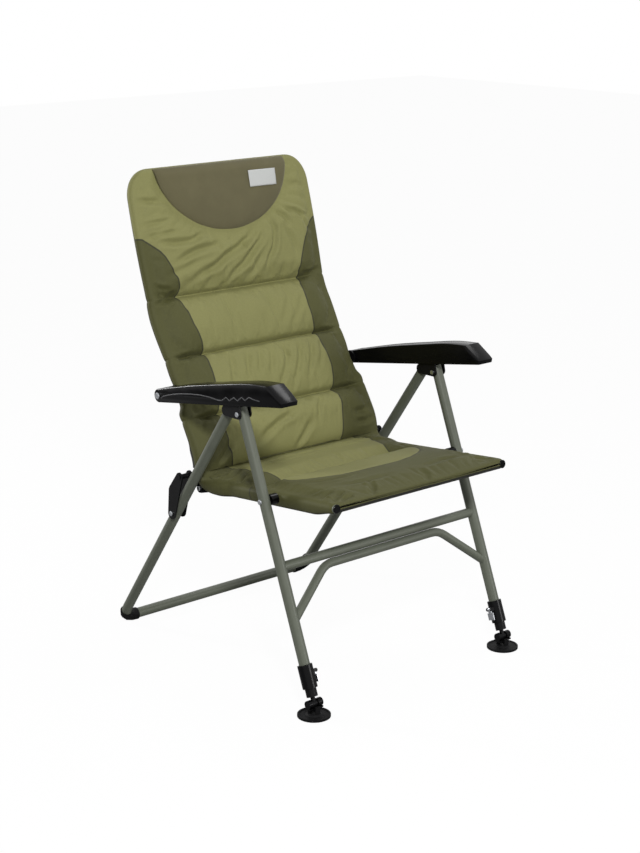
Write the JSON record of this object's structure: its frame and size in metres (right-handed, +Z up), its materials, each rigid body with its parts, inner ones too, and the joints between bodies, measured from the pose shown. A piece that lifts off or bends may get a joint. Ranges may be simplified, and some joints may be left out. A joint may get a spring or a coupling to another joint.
{
  "type": "folding reclining chair",
  "caption": "Folding fishing chair with a padded reclining back, armrests, a U-shaped rear leg frame and telescopic front legs on tilting mud feet.",
  "frame": {"origin": "on the floor, under the middle of the bounding box", "axes": "+Z up; the sitter faces -Y; the sitter's left hand is at +X"},
  "size_m": [0.675, 0.7832, 1.1259],
  "materials": {
    "frame_paint": "satin grey-green paint",
    "black_plastic": "moulded, fine grain",
    "black_steel": "black powder coat",
    "rubber": "matt",
    "bright_steel": "zinc plated",
    "cover_dark": "dark olive woven polyester",
    "cover_light": "light olive woven polyester",
    "pillow": "brushed dark olive fabric",
    "label": "white woven, blank"
  },
  "bodies": {
    "front_frame": {"front_leg_left": "frame_paint", "front_leg_right": "frame_paint", "leg_collar_left": "black_plastic", "leg_collar_right": "black_plastic", "front_cross_bar": "frame_paint", "front_brace": "frame_paint", "apex_bolt_left": "bright_steel", "apex_bolt_right": "bright_steel", "seat_bolt_left": "bright_steel", "seat_bolt_right": "bright_steel", "seat_spacer_left": "black_plastic", "seat_spacer_right": "black_plastic"},
    "rear_frame": {"rear_leg_frame": "frame_paint", "rear_shoe_left": "rubber", "rear_shoe_right": "rubber", "apex_bracket_left": "black_steel", "apex_bracket_right": "black_steel", "link_bolt_left": "bright_steel", "link_bolt_right": "bright_steel"},
    "seat": {"seat_frame": "frame_paint", "seat_pad": "cover_dark", "seat_cap_left": "black_plastic", "seat_cap_right": "black_plastic", "seat_plate_left": "black_steel", "seat_plate_right": "black_steel"},
    "back_hinge": {"hinge_bolt_left": "bright_steel", "hinge_bolt_right": "bright_steel", "cover_bend": "cover_dark"},
    "back": {"back_frame": "frame_paint", "back_pad": "cover_light", "head_rest": "pillow", "blank_label": "label", "back_plate_left": "black_steel", "back_plate_right": "black_steel"},
    "link_left": {"fold_link_left": "black_steel"},
    "armrest_pivot_left": {"arm_bolt_left": "bright_steel"},
    "armrest_left": {"armrest_left": "black_plastic", "arm_glide_left": "black_plastic"},
    "lower_leg_left": {"inner_leg_left": "black_steel"},
    "knuckle_left": {"foot_knuckle_left": "black_plastic"},
    "foot_left": {"mud_foot_left": "rubber"},
    "lever_left": {"lock_lever_left": "bright_steel"},
    "link_right": {"fold_link_right": "black_steel"},
    "armrest_pivot_right": {"arm_bolt_right": "bright_steel"},
    "armrest_right": {"armrest_right": "black_plastic", "arm_glide_right": "black_plastic"},
    "lower_leg_right": {"inner_leg_right": "black_steel"},
    "knuckle_right": {"foot_knuckle_right": "black_plastic"},
    "foot_right": {"mud_foot_right": "rubber"},
    "lever_right": {"lock_lever_right": "bright_steel"}
  },
  "joints": [
    {"name": "fold", "type": "hinge", "parent": "front_frame", "child": "seat", "pos_m": [0, -0.18801, 0.45597], "axis": [-1, 0, 0], "range_deg": [0, 92]},
    {"name": "rear_hinge", "type": "hinge", "parent": "front_frame", "child": "rear_frame", "pos_m": [0, -0.11587, 0.641], "axis": [-1, 0, 0], "range_deg": [0, 50]},
    {"name": "back_fold", "type": "hinge", "parent": "seat", "child": "back_hinge", "pos_m": [0, 0.08306, 0.41595], "axis": [1, 0, 0], "range_deg": [0, 75], "deforming": ["cover_bend"]},
    {"name": "recline", "type": "hinge", "parent": "back_hinge", "child": "back", "pos_m": [0, 0.08306, 0.41595], "axis": [-1, 0, 0], "range_deg": [-6, 17]},
    {"name": "link_left", "type": "hinge", "parent": "rear_frame", "child": "link_left", "pos_m": [0.3, 0.13711, 0.34995], "axis": [-1, 0, 0], "range_deg": [0, 150]},
    {"name": "armrest_pivot_left", "type": "hinge", "parent": "back", "child": "armrest_pivot_left", "pos_m": [0.3, 0.16888, 0.62991], "axis": [1, 0, 0], "range_deg": [-4.5, 12.75]},
    {"name": "armrest_fold_left", "type": "hinge", "parent": "armrest_pivot_left", "child": "armrest_left", "pos_m": [0.3, 0.16888, 0.62991], "axis": [-1, 0, 0], "range_deg": [0, 104]},
    {"name": "leg_extend_left", "type": "slide", "parent": "front_frame", "child": "lower_leg_left", "axis": [0, -0.3633, -0.9317], "range_m": [0, 0.1]},
    {"name": "foot_tilt_left", "type": "hinge", "parent": "lower_leg_left", "child": "knuckle_left", "pos_m": [0.3, -0.35408, 0.03], "axis": [1, 0, 0], "range_deg": [-25, 25]},
    {"name": "foot_roll_left", "type": "hinge", "parent": "knuckle_left", "child": "foot_left", "pos_m": [0.3, -0.35408, 0.018], "axis": [0, 1, 0], "range_deg": [-20, 20]},
    {"name": "lock_lever_left", "type": "hinge", "parent": "front_frame", "child": "lever_left", "pos_m": [0.2786, -0.32887, 0.09467], "axis": [0, 0.9317, -0.3633], "range_deg": [0, 90]},
    {"name": "link_right", "type": "hinge", "parent": "rear_frame", "child": "link_right", "pos_m": [-0.3, 0.13711, 0.34995], "axis": [-1, 0, 0], "range_deg": [0, 150]},
    {"name": "armrest_pivot_right", "type": "hinge", "parent": "back", "child": "armrest_pivot_right", "pos_m": [-0.3, 0.16888, 0.62991], "axis": [1, 0, 0], "range_deg": [-4.5, 12.75]},
    {"name": "armrest_fold_right", "type": "hinge", "parent": "armrest_pivot_right", "child": "armrest_right", "pos_m": [-0.3, 0.16888, 0.62991], "axis": [-1, 0, 0], "range_deg": [0, 104]},
    {"name": "leg_extend_right", "type": "slide", "parent": "front_frame", "child": "lower_leg_right", "axis": [0, -0.3633, -0.9317], "range_m": [0, 0.1]},
    {"name": "foot_tilt_right", "type": "hinge", "parent": "lower_leg_right", "child": "knuckle_right", "pos_m": [-0.3, -0.35408, 0.03], "axis": [1, 0, 0], "range_deg": [-25, 25]},
    {"name": "foot_roll_right", "type": "hinge", "parent": "knuckle_right", "child": "foot_right", "pos_m": [-0.3, -0.35408, 0.018], "axis": [0, 1, 0], "range_deg": [-20, 20]},
    {"name": "lock_lever_right", "type": "hinge", "parent": "front_frame", "child": "lever_right", "pos_m": [-0.2786, -0.32887, 0.09467], "axis": [0, -0.9317, 0.3633], "range_deg": [0, 90]}
  ],
  "couplings": [
    {"joint": "rear_hinge", "follows": "fold", "ratio": 0.54348},
    {"joint": "back_fold", "follows": "fold", "ratio": 0.81522},
    {"joint": "link_left", "follows": "fold", "ratio": 1.6304},
    {"joint": "armrest_pivot_left", "follows": "recline", "ratio": 0.75},
    {"joint": "armrest_fold_left", "follows": "fold", "ratio": 1.1304},
    {"joint": "link_right", "follows": "fold", "ratio": 1.6304},
    {"joint": "armrest_pivot_right", "follows": "recline", "ratio": 0.75},
    {"joint": "armrest_fold_right", "follows": "fold", "ratio": 1.1304}
  ]
}
